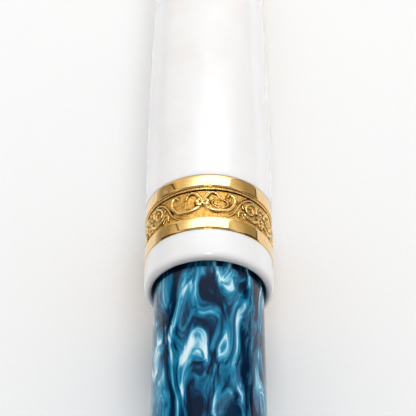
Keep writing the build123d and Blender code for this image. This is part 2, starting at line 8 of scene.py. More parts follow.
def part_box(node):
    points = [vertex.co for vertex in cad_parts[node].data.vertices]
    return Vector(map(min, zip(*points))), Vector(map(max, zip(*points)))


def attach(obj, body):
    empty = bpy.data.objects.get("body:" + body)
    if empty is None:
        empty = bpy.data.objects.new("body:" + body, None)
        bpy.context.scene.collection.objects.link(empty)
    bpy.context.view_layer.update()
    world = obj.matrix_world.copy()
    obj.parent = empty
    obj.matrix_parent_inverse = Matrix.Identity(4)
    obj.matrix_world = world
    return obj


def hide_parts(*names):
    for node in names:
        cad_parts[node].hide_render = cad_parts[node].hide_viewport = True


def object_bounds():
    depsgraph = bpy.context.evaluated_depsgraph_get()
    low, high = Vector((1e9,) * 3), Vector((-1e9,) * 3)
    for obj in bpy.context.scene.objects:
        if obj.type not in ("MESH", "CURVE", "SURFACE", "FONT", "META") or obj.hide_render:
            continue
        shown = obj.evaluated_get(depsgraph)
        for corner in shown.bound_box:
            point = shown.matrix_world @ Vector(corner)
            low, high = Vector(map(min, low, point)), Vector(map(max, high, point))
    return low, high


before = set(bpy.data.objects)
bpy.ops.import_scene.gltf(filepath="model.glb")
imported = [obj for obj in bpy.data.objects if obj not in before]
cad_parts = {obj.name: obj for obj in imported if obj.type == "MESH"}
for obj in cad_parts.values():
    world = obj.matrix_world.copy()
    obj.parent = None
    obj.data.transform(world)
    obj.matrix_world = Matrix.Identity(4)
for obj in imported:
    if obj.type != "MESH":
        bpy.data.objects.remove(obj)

cad_low, cad_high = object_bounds()

# ---- converter -------------------------------------------------------------------------------
# The ink is held in a clear acrylic tube with gilt sleeves pushed on at both ends. A moulded
# knob turns in the rear sleeve and draws a piston along the tube on a steel rod.
MM = 0.001


def linear(code):
    """An sRGB hex colour as linear red, green, blue and alpha."""
    channels = [int(code[i:i + 2], 16) / 255 for i in (1, 3, 5)]
    return [c / 12.92 if c <= 0.04045 else ((c + 0.055) / 1.055) ** 2.4 for c in channels] + [1]


def add_node(tree, kind, inputs=None, stops=None, **settings):
    """Add a node: inputs are values or the sockets that feed them, stops are a ramp's colours."""
    node = tree.nodes.new(kind)
    for name, value in settings.items():
        setattr(node, name, value)
    for name, value in (inputs or {}).items():
        if isinstance(value, bpy.types.NodeSocket):
            tree.links.new(value, node.inputs[name])
        else:
            node.inputs[name].default_value = value
    if stops:
        ramp = node.color_ramp.elements
        while len(ramp) < len(stops):
            ramp.new(1)
        for element, (place, code) in zip(ramp, stops):
            element.position = place
            element.color = linear(code)
    return node


def new_material(name, **shader):
    """A material with its shader's uniform values set; returns it, its tree and its shader."""
    material = bpy.data.materials.new(name)
    material.use_nodes = True
    tree = material.node_tree
    bsdf = tree.nodes["Principled BSDF"]
    for key, value in shader.items():
        bsdf.inputs[key.replace("_", " ")].default_value = value
    return material, tree, bsdf


def object_mm(tree, stretch=(1, 1, 1), turn=0, slide=0):
    """The piece's own coordinates in mm, stretched, then turned about the pen and slid along it."""
    place = add_node(tree, "ShaderNodeTexCoord").outputs["Object"]
    scale = [factor / MM for factor in stretch]
    mapping = add_node(
        tree, "ShaderNodeMapping",
        {"Vector": place, "Scale": scale, "Rotation": (0, radians(turn), 0), "Location": (0, slide, 0)},
    )
    return mapping.outputs["Vector"]


def dress(material, *nodes):
    """Give CAD nodes their finish."""
    for name in nodes:
        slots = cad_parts[name].data.materials
        slots.clear()
        slots.append(material)


# Extruded acrylic: water-clear, with faint drawing lines along the tube.
clear_acrylic, tree, bsdf = new_material(
    "clear_acrylic", Roughness=0.03, IOR=1.49, Transmission_Weight=1.0
)
ACRYLIC_LINE_MM = 0.6
drawn = add_node(
    tree, "ShaderNodeTexNoise",
    {"Vector": object_mm(tree, (1, 0.05, 1)), "Scale": 1 / ACRYLIC_LINE_MM, "Detail": 2},
)
bump = add_node(
    tree, "ShaderNodeBump",
    {"Height": drawn.outputs["Fac"], "Strength": 0.05, "Distance": 0.02 * MM},
)
tree.links.new(bump.outputs["Normal"], bsdf.inputs["Normal"])
tint = add_node(
    tree, "ShaderNodeValToRGB", {"Fac": drawn.outputs["Fac"]},
    stops=[(0.3, "#E9F1F4"), (0.7, "#F8FBFC")],
)
tree.links.new(tint.outputs["Color"], bsdf.inputs["Base Color"])

# Gold plate over polished brass: bright, with hairlines that the polishing wheel left.
HAIRLINE_MM = 0.12


def polished_metal(name, light, deep, roughness, hairline_stretch, lacquer=0.0):
    """A plated, polished metal with hairlines drawn out along one axis."""
    material, tree, bsdf = new_material(
        name, Metallic=1.0, Coat_Weight=lacquer, Coat_Roughness=0.05
    )
    hairlines = add_node(
        tree, "ShaderNodeTexNoise",
        {"Vector": object_mm(tree, hairline_stretch), "Scale": 1 / HAIRLINE_MM, "Detail": 3},
    )
    tone = add_node(
        tree, "ShaderNodeValToRGB", {"Fac": hairlines.outputs["Fac"]},
        stops=[(0.30, deep), (0.62, light)],
    )
    tree.links.new(tone.outputs["Color"], bsdf.inputs["Base Color"])
    spread = add_node(
        tree, "ShaderNodeMapRange",
        {"Value": hairlines.outputs["Fac"], "To Min": 0.7 * roughness, "To Max": 1.4 * roughness},
    )
    tree.links.new(spread.outputs["Result"], bsdf.inputs["Roughness"])
    bump = add_node(
        tree, "ShaderNodeBump",
        {"Height": hairlines.outputs["Fac"], "Strength": 0.06, "Distance": 0.01 * MM},
    )
    tree.links.new(bump.outputs["Normal"], bsdf.inputs["Normal"])
    return material


polished_gold = polished_metal("polished_gold_plate", "#F3CE8E", "#EBC07A", 0.05, (0.08, 1, 0.08), 0.6)
# Centreless-ground stainless steel: grey and even, with a soft gloss.
steel = polished_metal("ground_stainless_steel", "#C9CBCC", "#A9ABAD", 0.22, (1, 1, 1))

# Injection-moulded black ABS: satin, with the fine grain of the mould.
GRAIN_MM = 0.10


def moulded_black(name, code, roughness):
    """A dark moulded plastic with the mould's grain in its gloss and surface."""
    material, tree, bsdf = new_material(name, IOR=1.53)
    grain = add_node(
        tree, "ShaderNodeTexNoise",
        {"Vector": object_mm(tree), "Scale": 1 / GRAIN_MM, "Detail": 4},
    )
    tone = add_node(
        tree, "ShaderNodeValToRGB", {"Fac": grain.outputs["Fac"]},
        stops=[(0.2, "#08080A"), (0.9, code)],
    )
    tree.links.new(tone.outputs["Color"], bsdf.inputs["Base Color"])
    spread = add_node(
        tree, "ShaderNodeMapRange",
        {"Value": grain.outputs["Fac"], "To Min": 0.8 * roughness, "To Max": 1.3 * roughness},
    )
    tree.links.new(spread.outputs["Result"], bsdf.inputs["Roughness"])
    bump = add_node(
        tree, "ShaderNodeBump",
        {"Height": grain.outputs["Fac"], "Strength": 0.15, "Distance": 0.01 * MM},
    )
    tree.links.new(bump.outputs["Normal"], bsdf.inputs["Normal"])
    return material


black_abs = moulded_black("satin_black_abs", "#1B1B1E", 0.32)
# Moulded nitrile rubber: a dull, greyer black.
seal_rubber = moulded_black("moulded_seal_rubber", "#2A2A2C", 0.55)

TURN_STEPS = 160  # flats round a turned piece
MERGE_MM = 0.002  # corners closer than this are one
EDGE_MM = 0.004  # an edge that is to be softened lies within this of the place given


def finish(mesh, name, body, material, replaced=(), sharp=35):
    """Make a bmesh a smooth-shaded piece that rides on a body."""
    data = bpy.data.meshes.new(name)
    mesh.to_mesh(data)
    mesh.free()
    data.materials.append(material)
    data.shade_smooth()
    data.set_sharp_from_angle(angle=radians(sharp))
    piece = bpy.data.objects.new(name, data)
    bpy.context.scene.collection.objects.link(piece)
    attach(piece, body)
    if replaced:
        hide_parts(*replaced)
    return piece


def turned(profile, soften=(), segments=5, steps=TURN_STEPS):
    """Spin a closed half profile of (y, radius) in mm, then round the edges named by soften."""
    mesh = bmesh.new()
    points = [mesh.verts.new((0, y * MM, r * MM)) for y, r in profile]
    for start, end in zip(points, points[1:] + points[:1]):
        mesh.edges.new((start, end))
    bmesh.ops.spin(
        mesh, geom=mesh.verts[:] + mesh.edges[:], cent=(0, 0, 0), axis=(0, 1, 0),
        angle=2 * pi, steps=steps, use_merge=True,
    )
    bmesh.ops.remove_doubles(mesh, verts=mesh.verts, dist=MERGE_MM * MM)
    bmesh.ops.recalc_face_normals(mesh, faces=mesh.faces)
    near = EDGE_MM * MM
    for y, r, width in soften:
        edges = [
            edge for edge in mesh.edges
            if all(
                abs(v.co.y - y * MM) < near and abs(Vector((v.co.x, v.co.z)).length - r * MM) < near
                for v in edge.verts
            )
        ]
        bmesh.ops.bevel(
            mesh, geom=edges, offset=width * MM, offset_type="OFFSET", segments=segments,
            profile=0.5, affect="EDGES", material=-1,
        )
    return mesh


def box_mm(node):
    """The node's first and last place along the pen and its outer radius, in mm."""
    low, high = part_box(node)
    return low.y / MM, high.y / MM, high.x / MM


GROOVE_MM = 0.16  # half the width of a turned decorative groove


def ring(rear, front, inner_r, outer_r, *grooves):
    """The profile of a ring, with shallow grooves at the places given along it."""
    outer = [(rear, outer_r)]
    for y in grooves:
        outer += [
            (y - GROOVE_MM, outer_r), (y - 0.5 * GROOVE_MM, outer_r - GROOVE_MM / 2),
            (y + 0.5 * GROOVE_MM, outer_r - GROOVE_MM / 2), (y + GROOVE_MM, outer_r),
        ]
    return [(rear, inner_r)] + outer + [(front, outer_r), (front, inner_r)]


TUBE_BORE_R = 3.0
TUBE_NOSE_WALL = 1.5
TUBE_NOSE_R = 1.25  # the hole that the nipple goes into
TUBE_ROUND = 0.12
KNOB_NECK_BORE_R = 2.30
SLEEVE_WALL = 0.38
SLEEVE_ROUND = 0.08
GROOVE_PLACES = (0.8, 1.3)  # the sleeves' grooves, from an end
tube_rear, tube_nose, tube_r = box_mm("converter_tube")
tube_step = tube_nose - TUBE_NOSE_WALL
finish(
    turned(
        [(tube_rear, TUBE_BORE_R), (tube_rear, tube_r), (tube_nose, tube_r), (tube_nose, TUBE_NOSE_R),
         (tube_step, TUBE_NOSE_R), (tube_step, TUBE_BORE_R)],
        [(tube_nose, tube_r, TUBE_ROUND)],
    ),
    "drawn_converter_tube", "section", clear_acrylic, ["converter_tube"],
)
rear, front, sleeve_r = box_mm("converter_ferrule")
sleeve_bore_r = sleeve_r - SLEEVE_WALL
finish(
    turned(
        ring(
            rear, front, sleeve_bore_r, sleeve_r,
            rear + GROOVE_PLACES[0], rear + GROOVE_PLACES[1], front - GROOVE_PLACES[0],
        ),
        [(rear, sleeve_r, SLEEVE_ROUND), (front, sleeve_r, SLEEVE_ROUND)],
    ),
    "gilt_ferrule", "section", polished_gold, ["converter_ferrule"],
)
rear, front, sleeve_r = box_mm("converter_collar")
collar_profile = ring(
    rear, front, sleeve_bore_r, sleeve_r,
    front - GROOVE_PLACES[0], front - GROOVE_PLACES[1], rear + GROOVE_PLACES[0],
)
collar_profile[0] = (rear, KNOB_NECK_BORE_R)
collar_profile += [(tube_rear, sleeve_bore_r), (tube_rear, KNOB_NECK_BORE_R)]
finish(
    turned(collar_profile, [(rear, sleeve_r, SLEEVE_ROUND), (front, sleeve_r, SLEEVE_ROUND)]),
    "gilt_rear_collar", "section", polished_gold, ["converter_collar"],
)
dress(black_abs, "converter_knob")
dress(seal_rubber, "piston_seal")
dress(steel, "piston_rod")

# ---- nib and feed ----------------------------------------------------------------------------
# The nib is rolled from gold sheet, pierced, slit and tipped with a hard pellet. It is pressed
# into a black housing together with the feed, whose comb of fins holds back spare ink.

# Rolled gold: warm, with the lines of the rolls along the nib.
nib_gold = polished_metal("rolled_nib_gold", "#F0C781", "#DDAE62", 0.14, (1, 0.2, 1))
# Moulded ABS, roughened so that ink wets it: a duller black.
roughened_abs = moulded_black("roughened_black_abs", "#202023", 0.42)
dress(nib_gold, "nib")
dress(steel, "nib_tipping")
dress(roughened_abs, "feed", "nib_housing")

# ---- marbled resin ---------------------------------------------------------------------------
# Barrel, grip and tail are turned from one rod of cast acrylic. Navy, slate, teal and pearl
# batches are poured together and drawn out, so the colours run along the rod in folded ribbons.
DRAWN_OUT = 0.42  # the figure changes this much as fast along the rod as across it
FOLD_MM = 5.0  # size of the large folds
FOLD_PUSH = 2.2  # how far they push the resin, as a share of their size
FOLD_SEED = 143.0
CURL_MM = 2.0  # size of the small curls in them
CURL_PUSH = 0.85
CURL_SEED = 29.0
STRAND_MM = 1.2  # width of the strands that the colours are drawn out to
BATCH_MM = 3.4  # size of a batch's patches
ROD_TURN = 76  # how the rod lies in the barrel, in degrees and mm
ROD_SLIDE = -1.05
BATCH_SHARE = 0.75  # how far a batch's patches rule over the strands in them
STRAND_RUN = 0.25  # the strands change this much as fast along themselves as across them
TONE_SHIFT = 0.006  # a little more of the dark batches than of the light ones
LIVELY_SCALE = 0.6 / BATCH_MM  # the teal parts and the slate parts are larger than a batch
LIVELY_RANGE = (0.40, 0.52)

# Cast acrylic, buffed: a deep gloss over colours that lie in the resin itself.
marbled_resin, tree, bsdf = new_material(
    "marbled_cast_acrylic", Roughness=0.09, IOR=1.49, Specular_IOR_Level=0.3
)
rod = object_mm(tree, (1, DRAWN_OUT, 1), ROD_TURN, ROD_SLIDE)


def shifted(tree, place, size_mm, amount_mm, seed):
    """Coordinates pushed about by a slow noise, as a poured resin is by stirring."""
    start = add_node(
        tree, "ShaderNodeVectorMath", {0: place, 1: (seed, seed, seed)}, operation="ADD"
    )
    swirl = add_node(
        tree, "ShaderNodeTexNoise",
        {"Vector": start.outputs["Vector"], "Scale": 1 / size_mm, "Detail": 1.0},
    )
    centred = add_node(
        tree, "ShaderNodeVectorMath", {0: swirl.outputs["Color"], 1: (0.5, 0.5, 0.5)},
        operation="SUBTRACT",
    )
    push = add_node(
        tree, "ShaderNodeVectorMath", {0: centred.outputs["Vector"], "Scale": amount_mm},
        operation="SCALE",
    )
    moved = add_node(
        tree, "ShaderNodeVectorMath", {0: place, 1: push.outputs["Vector"]}, operation="ADD"
    )
    return moved.outputs["Vector"]


folded = shifted(tree, rod, FOLD_MM, FOLD_PUSH * FOLD_MM, FOLD_SEED)
curled = shifted(tree, folded, CURL_MM, CURL_PUSH * CURL_MM, CURL_SEED)
# The colours lie in strands that follow the folds; each swells, thins and dies out on its way.
strand_scale = (1 / STRAND_MM, STRAND_RUN / STRAND_MM, 1 / STRAND_MM)
along_strand = add_node(tree, "ShaderNodeMapping", {"Vector": curled, "Scale": strand_scale})
strands = add_node(
    tree, "ShaderNodeTexNoise",
    {"Vector": along_strand.outputs["Vector"], "Scale": 1.0, "Detail": 3.0, "Roughness": 0.55},
)
batches = add_node(
    tree, "ShaderNodeTexNoise", {"Vector": folded, "Scale": 1 / BATCH_MM, "Detail": 1.0}
)
depth = add_node(
    tree, "ShaderNodeMath",
    {0: batches.outputs["Fac"], 1: BATCH_SHARE, 2: strands.outputs["Fac"]}, operation="MULTIPLY_ADD",
)
depth = add_node(
    tree, "ShaderNodeMath", {0: depth.outputs["Value"], 1: BATCH_SHARE / 2 + TONE_SHIFT},
    operation="SUBTRACT",
)
teal_tones = add_node(
    tree, "ShaderNodeValToRGB", {"Fac": depth.outputs["Value"]},
    stops=[
        (0.35, "#041B33"), (0.425, "#053355"), (0.465, "#0A5679"), (0.525, "#17759A"),
        (0.585, "#2C90B4"), (0.63, "#68B2CB"), (0.675, "#A9D6E6"), (0.74, "#E2F0F7"),
    ],
)
slate_tones = add_node(
    tree, "ShaderNodeValToRGB", {"Fac": depth.outputs["Value"]},
    stops=[
        (0.34, "#041B33"), (0.43, "#072C49"), (0.48, "#154562"), (0.56, "#34607E"),
        (0.62, "#226F96"), (0.68, "#58A6C4"), (0.75, "#B4DAE8"),
    ],
)
patches = add_node(
    tree, "ShaderNodeTexNoise", {"Vector": folded, "Scale": LIVELY_SCALE, "Detail": 1.0}
)
lively = add_node(
    tree, "ShaderNodeMapRange",
    {"Value": patches.outputs["Fac"], "From Min": LIVELY_RANGE[0], "From Max": LIVELY_RANGE[1]},
    interpolation_type="SMOOTHSTEP",
)
marbled = add_node(
    tree, "ShaderNodeMixRGB",
    {"Fac": lively.outputs["Result"], "Color1": slate_tones.outputs["Color"],
     "Color2": teal_tones.outputs["Color"]},
)
tree.links.new(marbled.outputs["Color"], bsdf.inputs["Base Color"])

# ---- grip section ----------------------------------------------------------------------------
# The grip is turned from the marbled rod and polished; a gilt ring is pressed on behind it, and
# a brass collar with a thread on it is glued into its rear.


def curve_points(curve, count):
    """Points along a curve that is given as a function of 0 to 1."""
    return [curve(i / count) for i in range(count + 1)]


def bezier(*knots):
    """A cubic curve through the first and last of four (y, radius) points."""
    def at(t):
        weights = ((1 - t) ** 3, 3 * t * (1 - t) ** 2, 3 * t * t * (1 - t), t ** 3)
        return tuple(sum(w * knot[i] for w, knot in zip(weights, knots)) for i in (0, 1))
    return at


grip_rear, grip_front, grip_r = box_mm("grip_section")
GRIP_WAIST_R = 4.5
GRIP_FLARE_R = 4.9
GRIP_FLARE = 2.2  # length of the flared end
GRIP_END_ROUND = 0.25
GRIP_END_R = GRIP_FLARE_R - 0.15
GRIP_BORE_R = 4.15
grip_length = grip_front - grip_rear
waist_y = grip_front - GRIP_FLARE
flare_y = grip_front - 0.3 * GRIP_FLARE
fall = bezier(
    (grip_rear, grip_r), (grip_rear + 0.5 * grip_length, grip_r),
    (waist_y - 0.3 * grip_length, GRIP_WAIST_R), (waist_y, GRIP_WAIST_R),
)
rise = bezier(
    (waist_y, GRIP_WAIST_R), (waist_y + 0.4 * GRIP_FLARE, GRIP_WAIST_R),
    (flare_y - 0.3 * GRIP_FLARE, GRIP_FLARE_R), (flare_y, GRIP_FLARE_R),
)
grip_profile = (
    curve_points(fall, 24) + curve_points(rise, 10)[1:]
    + [(grip_front, GRIP_END_R), (grip_front, GRIP_BORE_R), (grip_rear, GRIP_BORE_R)]
)
finish(
    turned(grip_profile, [(grip_front, GRIP_END_R, GRIP_END_ROUND)]),
    "turned_grip", "section", marbled_resin, ["grip_section"],
)

ring_rear, ring_front, ring_r = box_mm("section_ring")
SPIGOT_R = 4.62
SECTION_RING_ROUND = 0.18
finish(
    turned(
        [(ring_rear, SPIGOT_R), (ring_rear, ring_r), (ring_front, ring_r), (ring_front, SPIGOT_R)],
        [(ring_rear, ring_r, SECTION_RING_ROUND), (ring_front, ring_r, SECTION_RING_ROUND)],
    ),
    "gilt_section_ring", "section", polished_gold, ["section_ring"],
)

# Free-cutting brass, turned and left bare: duller than the plate, with the tool's lines round it.
brass = polished_metal("turned_brass", "#C9A25A", "#A27C3A", 0.26, (0.1, 1, 0.1))
THREAD_FADE = 0.25  # share of a turn over which a thread rises at its ends
THREAD_END_SHARE = 0.02  # a thread starts with this share of its height, so its end keeps an area
THREAD_SINK = 0.03  # the ridges' feet lie just under the surface that they stand on
THREAD_STEPS = 96


def thread(root_r, crest_r, first_y, last_y, lead, starts, foot_mm, crest_mm):
    """The ridges of a screw thread: their radii, ends, rise in a turn and widths, in mm."""
    foot_r = root_r - THREAD_SINK
    steps = round((last_y - first_y) / lead * THREAD_STEPS)
    corners = [
        (-foot_mm / 2, foot_r), (-crest_mm / 2, crest_r),
        (crest_mm / 2, crest_r), (foot_mm / 2, foot_r),
    ]
    mesh = bmesh.new()
    for start in range(starts):
        angle = 2 * pi * start / starts
        points = [
            mesh.verts.new((r * MM * sin(angle), (first_y + y) * MM, r * MM * cos(angle)))
            for y, r in corners
        ]
        section = mesh.faces.new(points)
        swept = bmesh.ops.spin(
            mesh, geom=[*points, *section.edges], cent=(0, 0, 0), axis=(0, 1, 0),
            dvec=(0, lead / THREAD_STEPS * MM, 0), angle=2 * pi * steps / THREAD_STEPS,
            steps=steps,
        )
        bmesh.ops.contextual_create(
            mesh, geom=[part for part in swept["geom_last"] if isinstance(part, bmesh.types.BMEdge)]
        )
    fade_steps = THREAD_FADE * THREAD_STEPS
    for index, vertex in enumerate(mesh.verts):
        step = index // len(corners) % (steps + 1)
        rise = min(1, max(THREAD_END_SHARE, min(step, steps - step) / fade_steps))
        reach = Vector((vertex.co.x, vertex.co.z)).length
        kept = foot_r * MM + rise * (reach - foot_r * MM)
        vertex.co.x *= kept / reach
        vertex.co.z *= kept / reach
    bmesh.ops.recalc_face_normals(mesh, faces=mesh.faces)
    return mesh


def joined(*meshes):
    """Several bmeshes as one."""
    whole = bmesh.new()
    for mesh in meshes:
        part = bpy.data.meshes.new("part")
        mesh.to_mesh(part)
        mesh.free()
        whole.from_mesh(part)
    return whole


collar_rear, collar_front, collar_r = box_mm("thread_collar")
COLLAR_BORE_R = 3.95
COLLAR_ROOT_R = 4.66
COLLAR_THREAD_END = 9.6
COLLAR_BEVEL = 0.2
COLLAR_LEAD = 1.25
COLLAR_THREAD_INSETS = (0.5, 0.3)  # how far the thread stays from the rear and from the bevel
COLLAR_CLEARANCE = 0.1
GLUE_GAP = 0.02  # room for glue between pieces that are put together with it
collar_joint = ring_rear - COLLAR_CLEARANCE
spigot_r = SPIGOT_R - GLUE_GAP
collar_profile = [
    (collar_rear, COLLAR_BORE_R), (collar_rear, COLLAR_ROOT_R),
    (COLLAR_THREAD_END, COLLAR_ROOT_R), (COLLAR_THREAD_END + COLLAR_BEVEL, collar_r),
    (collar_joint, collar_r), (collar_joint, spigot_r),
    (collar_front, spigot_r), (collar_front, COLLAR_BORE_R),
]
finish(
    joined(
        turned(collar_profile),
        thread(
            COLLAR_ROOT_R, collar_r, collar_rear + COLLAR_THREAD_INSETS[0],
            COLLAR_THREAD_END - COLLAR_THREAD_INSETS[1], COLLAR_LEAD,
            starts=1, foot_mm=0.95, crest_mm=0.25,
        ),
    ),
    "threaded_collar", "section", brass, ["thread_collar"],
)

# ---- barrel ----------------------------------------------------------------------------------
# The barrel is turned from the same rod and polished to a deep gloss. A black bush with the
# threads is glued into its mouth, and a gilt ring and a finial are screwed to its tail.
BARREL_STRAIGHT = 20.0  # from the cap's mouth to where the taper begins
BARREL_NECK_R = 6.30
NECK_END = -0.3
NECK_BEVEL = 0.1
STUD_R = 1.52  # the hole for the tail finial's stud
BARREL_BORE_R = 5.0
BARREL_FLOOR = 6.0  # thickness of the barrel's closed end
TAIL_RING_PROUD = 0.075
TAIL_RING_ROUND = 0.3
barrel_tail, barrel_front, barrel_r = box_mm("barrel_tube")
tail_ring_rear, _, tail_ring_r = box_mm("tail_ring")
barrel_tail_r = tail_ring_r - TAIL_RING_PROUD
taper_length = -BARREL_STRAIGHT - barrel_tail


def barrel_taper(t):
    """The barrel's outline from its straight length to its tail, an arc of shallow sag."""
    return -BARREL_STRAIGHT - t * taper_length, barrel_r - t * t * (barrel_r - barrel_tail_r)


barrel_profile = (
    [(barrel_front, BARREL_BORE_R), (barrel_front, BARREL_NECK_R), (NECK_END, BARREL_NECK_R)]
    + [(NECK_END - NECK_BEVEL, barrel_r)] + curve_points(barrel_taper, 40)
    + [(barrel_tail, STUD_R), (barrel_tail + BARREL_FLOOR, STUD_R)]
    + [(barrel_tail + BARREL_FLOOR, BARREL_BORE_R)]
)
finish(
    turned(barrel_profile), "turned_barrel", "barrel", marbled_resin,
    ["barrel_tube"],
)
finish(
    turned(
        [(tail_ring_rear, STUD_R), (tail_ring_rear, tail_ring_r),
         (barrel_tail, tail_ring_r), (barrel_tail, STUD_R)],
        [(tail_ring_rear, tail_ring_r, TAIL_RING_ROUND), (barrel_tail, tail_ring_r, TAIL_RING_ROUND)],
    ),
    "gilt_tail_ring", "barrel", polished_gold, ["tail_ring"],
)


def dome(base_y, height, radius, count=28):
    """Half an ellipse from the rim to the tip, as (y, radius) points; height may be negative."""
    return [
        (base_y + height * sin(i / count * pi / 2), radius * cos(i / count * pi / 2))
        for i in range(count)
    ] + [(base_y + height, 0)]


tail_end, _, tail_finial_r = box_mm("tail_finial")
finish(
    turned(dome(tail_ring_rear, tail_end - tail_ring_rear, tail_finial_r) + [(tail_ring_rear, 0)]),
    "turned_tail_finial", "barrel", marbled_resin, ["tail_finial"],
)

# The cap goes on with a turn and a half, so its thread has three starts and a steep lead.
_, bush_front, _ = box_mm("barrel_bush")
BUSH_ROOT_R = 5.90
BUSH_CREST_R = 6.22
BUSH_THREAD_START = 6.9
BUSH_THREAD_INSET = 0.9
BUSH_STARTS = 3
BUSH_LEAD = 16 / 3
dress(black_abs, "barrel_bush")
finish(
    thread(
        BUSH_ROOT_R, BUSH_CREST_R, BUSH_THREAD_START, bush_front - BUSH_THREAD_INSET, BUSH_LEAD,
        BUSH_STARTS, foot_mm=1.05, crest_mm=0.40,
    ),
    "bush_thread", "bush", black_abs,
)

# ---- cap -------------------------------------------------------------------------------------
# The cap is turned from cast white resin and buffed. Its nose is turned down for the band, and
# a lip of the same resin is glued on in front of it.
BAND_TOP = 12.1
CAP_R = 7.84
CAP_TOP_R = 6.74
CAP_BULGE = 0.34
NOSE_R = 7.3  # the part that is turned down for the band
MOUTH_R = 6.8
CAP_THREAD_START = 6.6
CAP_THREAD_END = 14.2
CAP_THREAD_R = 6.35
CAP_BORE_R = 5.87
CAP_ROOF = 2.0
SCREW_HOLE_R = 2.02
CAP_EDGE_ROUND = 0.08
nose_y, cap_tube_top, _ = box_mm("cap_tube")
cap_length = cap_tube_top - BAND_TOP

# Cast white resin, buffed: faintly clouded and a little see-through at its surface.
white_resin, tree, bsdf = new_material(
    "buffed_white_resin", Roughness=0.16, IOR=1.50,
    Subsurface_Weight=0.12, Subsurface_Scale=0.8 * MM,
)
CLOUD_MM = 6.0
BUFFING_MM = 0.5
clouds = add_node(
    tree, "ShaderNodeTexNoise", {"Vector": object_mm(tree), "Scale": 1 / CLOUD_MM, "Detail": 3}
)
tone = add_node(
    tree, "ShaderNodeValToRGB", {"Fac": clouds.outputs["Fac"]},
    stops=[(0.3, "#F1EFEF"), (0.7, "#F6F5F5")],
)
tree.links.new(tone.outputs["Color"], bsdf.inputs["Base Color"])
buffing = add_node(
    tree, "ShaderNodeTexNoise",
    {"Vector": object_mm(tree, (1, 0.15, 1)), "Scale": 1 / BUFFING_MM, "Detail": 2},
)
bump = add_node(
    tree, "ShaderNodeBump",
    {"Height": buffing.outputs["Fac"], "Strength": 0.03, "Distance": 0.01 * MM},
)
tree.links.new(bump.outputs["Normal"], bsdf.inputs["Normal"])


def cap_outline(t):
    """The cap tube's outline from the band to the clip ring: a shallow bulged taper."""
    bulge = CAP_BULGE * (1 - (2 * t - 1) ** 2)
    return BAND_TOP + t * cap_length, CAP_R + t * (CAP_TOP_R - CAP_R) + bulge


cap_profile = (
    [(nose_y, MOUTH_R), (nose_y, NOSE_R), (BAND_TOP, NOSE_R)] + curve_points(cap_outline, 48)
    + [(cap_tube_top, SCREW_HOLE_R), (cap_tube_top - CAP_ROOF, SCREW_HOLE_R)]
    + [(cap_tube_top - CAP_ROOF, CAP_BORE_R), (CAP_THREAD_END, CAP_BORE_R)]
    + [(CAP_THREAD_END, CAP_THREAD_R), (CAP_THREAD_START, CAP_THREAD_R), (CAP_THREAD_START, MOUTH_R)]
)
finish(
    turned(cap_profile, [(BAND_TOP, CAP_R, CAP_EDGE_ROUND)]),
    "turned_cap_tube", "cap", white_resin, ["cap_tube"],
)

_, lip_top, lip_r = box_mm("cap_lip")
LIP_BASE = 1.48  # where the lip's inside steps out over the cap's nose
LIP_NOSE = (0.88, 0.55)  # the lip's end is rounded like a quarter of an ellipse, long by high
LIP_NOSE_STEPS = 16
LIP_INNER_ROUND = 0.34  # the mouth's inner edge, rounded so that it doesn't scratch the barrel
lip_seat_r = NOSE_R + GLUE_GAP
lip_nose = [
    (LIP_NOSE[0] * (1 - sin(i * pi / 2 / LIP_NOSE_STEPS)),
     lip_r - LIP_NOSE[1] * (1 - cos(i * pi / 2 / LIP_NOSE_STEPS)))
    for i in range(LIP_NOSE_STEPS + 1)
]
lip_profile = (
    [(0, MOUTH_R)] + lip_nose[::-1]
    + [(lip_top, lip_r), (lip_top, lip_seat_r), (LIP_BASE, lip_seat_r), (LIP_BASE, MOUTH_R)]
)
finish(
    turned(lip_profile, [(0, MOUTH_R, LIP_INNER_ROUND)]),
    "turned_cap_lip", "cap", white_resin, ["cap_lip"],
)
dress(black_abs, "inner_cap")

# ---- cap band --------------------------------------------------------------------------------
# Two polished gilt rims hold a strip that is struck with scrollwork in relief. The strip's ground
# is punched matt and painted darker, partly as patina and partly as painted shade, and a thin
# moulding runs along its upper edge.
BAND_BORE_R = 7.32
RIM_CROWN = 0.005  # polishing leaves the rims faintly rounded along the pen
RIM_ROUND = 0.06
for name in ("band_lower_rim", "band_upper_rim"):
    rim_start, rim_end, rim_r = box_mm(name)
    crowned = [
        (rim_start + t * (rim_end - rim_start), rim_r - RIM_CROWN * (2 * t - 1) ** 2)
        for t in (0, 0.2, 0.4, 0.6, 0.8, 1)
    ]
    finish(
        turned(
            [(rim_start, BAND_BORE_R)] + crowned + [(rim_end, BAND_BORE_R)],
            [(rim_start, rim_r - RIM_CROWN, RIM_ROUND), (rim_end, rim_r - RIM_CROWN, RIM_ROUND)],
        ),
        f"polished_{name}", "cap", polished_gold, [name],
    )
